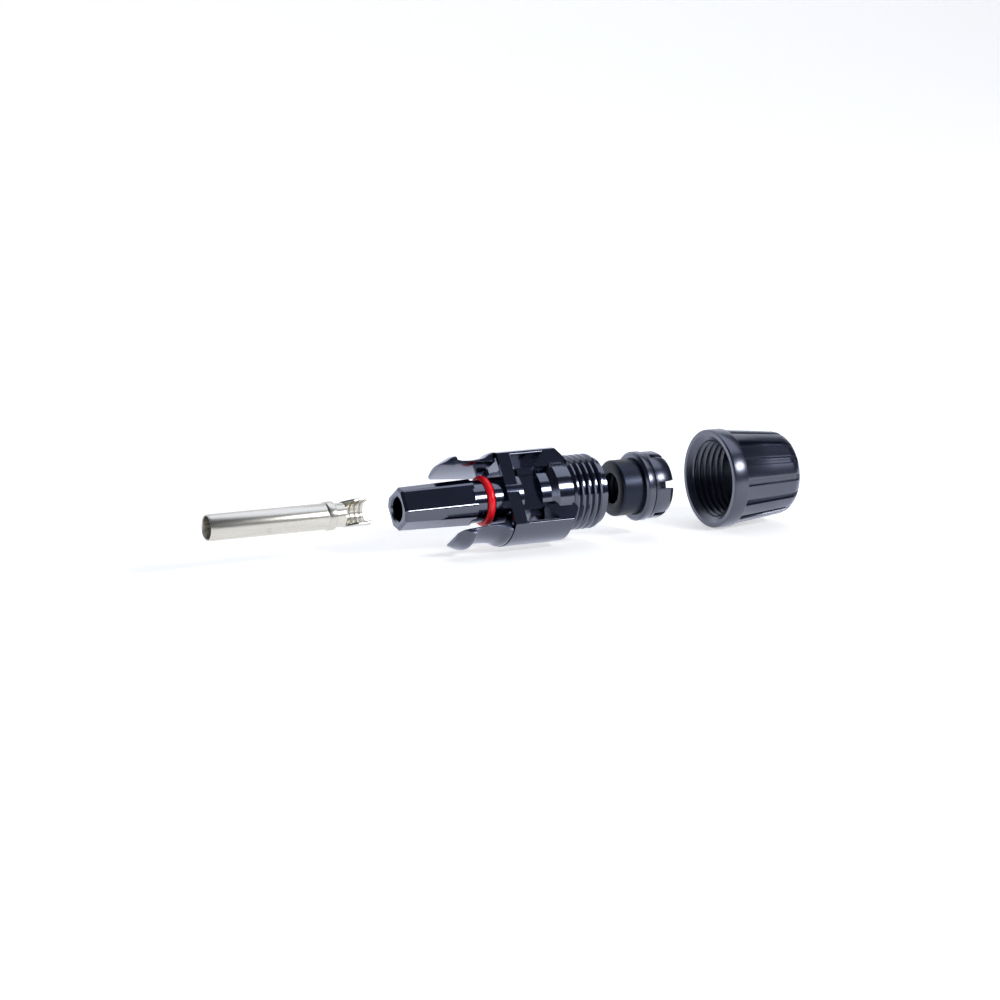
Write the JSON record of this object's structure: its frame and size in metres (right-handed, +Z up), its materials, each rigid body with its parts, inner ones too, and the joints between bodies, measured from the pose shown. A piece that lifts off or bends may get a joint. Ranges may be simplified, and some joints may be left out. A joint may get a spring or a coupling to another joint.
{
  "type": "solar cable connector",
  "caption": "Exploded solar cable coupler half: socket contact, latching nose housing with O-ring, cable seal in a fingered cage, and a ribbed nut, on one centre line.",
  "frame": {"origin": "midway along the laid-out line, on the bench plane that the nut rests on, 9.8 mm below the centre line", "axes": "+X along the connector's centre line from the contact's socket to the nut's cable hole, +Z up from the bench, +Y away from the viewer"},
  "size_m": [0.1252, 0.0196, 0.0196],
  "materials": {
    "tinned_copper": "bright tin plate",
    "spring_metal": "satin",
    "black_plastic": "gloss",
    "red_silicone": "semi-gloss",
    "black_rubber": "satin"
  },
  "bodies": {
    "housing": {"housing": "black_plastic", "o_ring": "red_silicone"},
    "latch_upper": {"latch_arm_upper": "black_plastic"},
    "latch_lower": {"latch_arm_lower": "black_plastic"},
    "contact": {"socket_contact": "tinned_copper", "contact_spring": "spring_metal"},
    "gland": {"cable_seal": "black_rubber", "strain_relief_cage": "black_plastic"},
    "nut": {"gland_nut": "black_plastic"}
  },
  "joints": [
    {"name": "latch_upper_flex", "type": "hinge", "parent": "housing", "child": "latch_upper", "pos_m": [-0.0024, 0.00419, 0.01626], "axis": [0, -0.8387, 0.5446], "range_deg": [-6, 0], "stiffness_Nm_per_rad": 0.15},
    {"name": "latch_lower_flex", "type": "hinge", "parent": "housing", "child": "latch_lower", "pos_m": [-0.0024, -0.00419, 0.00334], "axis": [0, -0.8387, 0.5446], "range_deg": [0, 6], "stiffness_Nm_per_rad": 0.15},
    {"name": "contact_slide", "type": "slide", "parent": "housing", "child": "contact", "axis": [1, 0, 0], "range_m": [0, 0.0061]},
    {"name": "gland_slide", "type": "slide", "parent": "housing", "child": "gland", "axis": [-1, 0, 0], "range_m": [0, 0.0088]},
    {"name": "nut_slide", "type": "slide", "parent": "gland", "child": "nut", "axis": [-1, 0, 0], "range_m": [0, 0.0259]}
  ]
}
